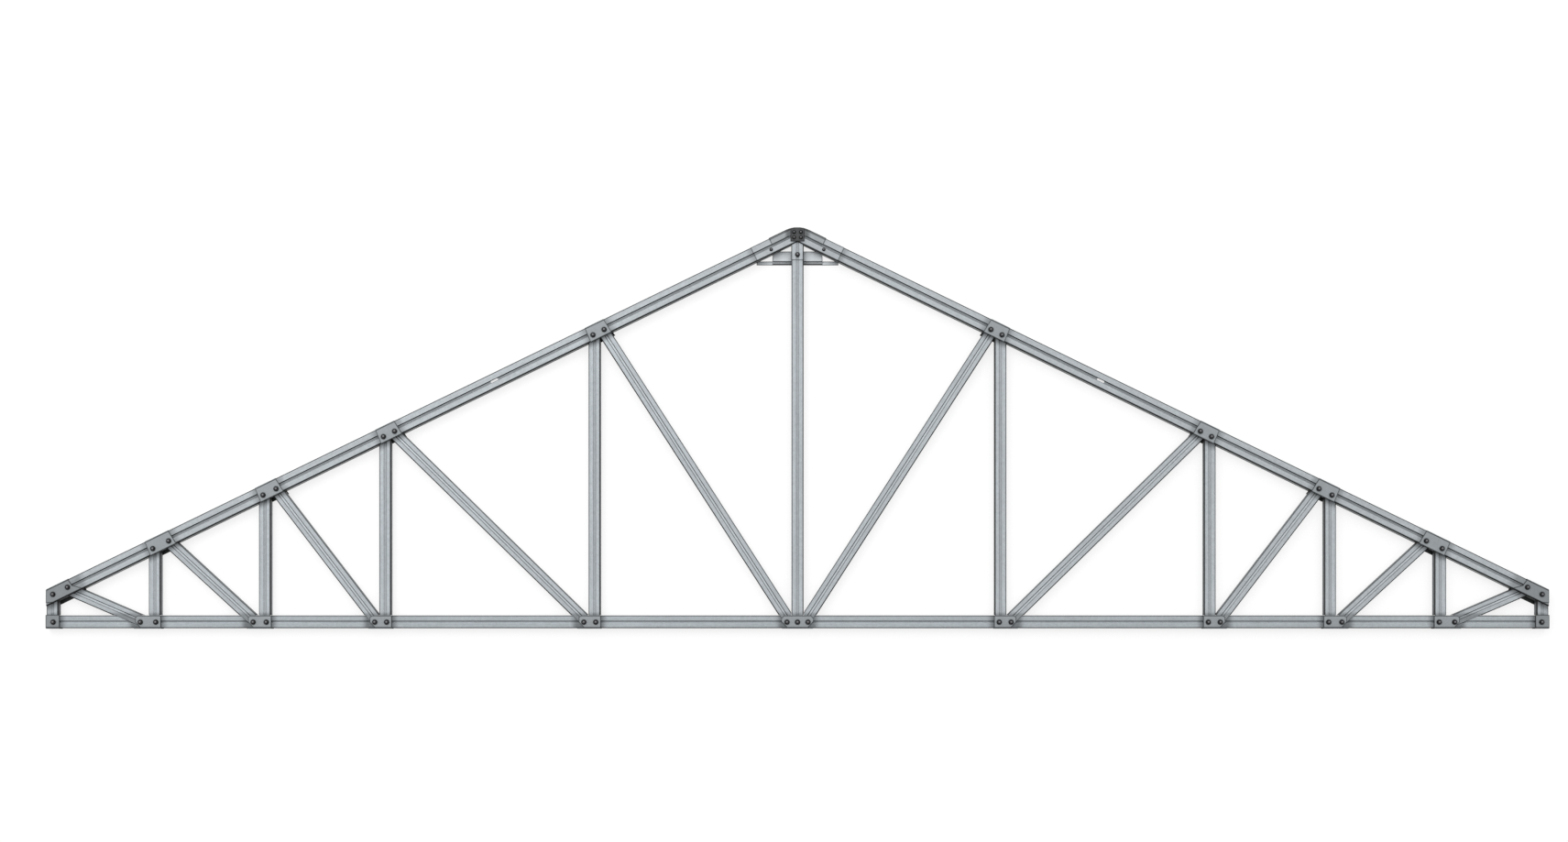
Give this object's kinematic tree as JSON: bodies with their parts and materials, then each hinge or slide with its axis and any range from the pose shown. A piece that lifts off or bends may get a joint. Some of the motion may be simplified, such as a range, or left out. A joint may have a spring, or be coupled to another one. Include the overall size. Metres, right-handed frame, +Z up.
{
  "type": "light gauge steel roof truss",
  "caption": "Bolted roof truss of ribbed, lipped steel channels with folded saddle brackets, posts, diagonals and a rounded ridge cap, lying on its back",
  "frame": {"origin": "on the floor, under the middle of the truss's outline as it lies on its back", "axes": "+X along the span, +Y from the bottom chord up to the ridge, +Z up from the floor to the front face"},
  "size_m": [9.608, 2.5642, 0.0731],
  "materials": {
    "channel_steel": "satin galvanised",
    "bracket_steel": "dull galvanised",
    "bolt_steel": "blackened, semi-gloss"
  },
  "bodies": {
    "root": {"bottom_chord": "channel_steel", "top_chord_left": "channel_steel", "top_chord_right": "channel_steel", "king_post": "channel_steel", "heel_post_left": "channel_steel", "heel_post_right": "channel_steel", "post_1_left": "channel_steel", "post_2_left": "channel_steel", "post_3_left": "channel_steel", "post_4_left": "channel_steel", "post_1_right": "channel_steel", "post_2_right": "channel_steel", "post_3_right": "channel_steel", "post_4_right": "channel_steel", "heel_diagonal_left": "channel_steel", "heel_diagonal_right": "channel_steel", "diagonal_1_left": "channel_steel", "diagonal_2_left": "channel_steel", "diagonal_3_left": "channel_steel", "diagonal_4_left": "channel_steel", "diagonal_1_right": "channel_steel", "diagonal_2_right": "channel_steel", "diagonal_3_right": "channel_steel", "diagonal_4_right": "channel_steel", "ridge_sleeve_left": "channel_steel", "ridge_sleeve_right": "channel_steel", "king_sleeve": "channel_steel", "heel_top_bracket_left": "bracket_steel", "heel_top_bracket_right": "bracket_steel", "top_bracket_1_left": "bracket_steel", "top_bracket_2_left": "bracket_steel", "top_bracket_3_left": "bracket_steel", "top_bracket_4_left": "bracket_steel", "top_bracket_1_right": "bracket_steel", "top_bracket_2_right": "bracket_steel", "top_bracket_3_right": "bracket_steel", "top_bracket_4_right": "bracket_steel", "heel_bottom_bracket_left": "bracket_steel", "heel_bottom_bracket_right": "bracket_steel", "bottom_bracket_1_left": "bracket_steel", "bottom_bracket_2_left": "bracket_steel", "bottom_bracket_3_left": "bracket_steel", "bottom_bracket_4_left": "bracket_steel", "bottom_bracket_1_right": "bracket_steel", "bottom_bracket_2_right": "bracket_steel", "bottom_bracket_3_right": "bracket_steel", "bottom_bracket_4_right": "bracket_steel", "centre_bracket": "bracket_steel", "ridge_cap": "bracket_steel", "ridge_plate": "bracket_steel", "collar": "bracket_steel", "tie_bar": "bracket_steel", "bolts_left": "bolt_steel", "bolts_right": "bolt_steel", "bolts_middle": "bolt_steel", "nuts_left": "bolt_steel", "nuts_right": "bolt_steel", "nuts_middle": "bolt_steel"}
  },
  "joints": []
}
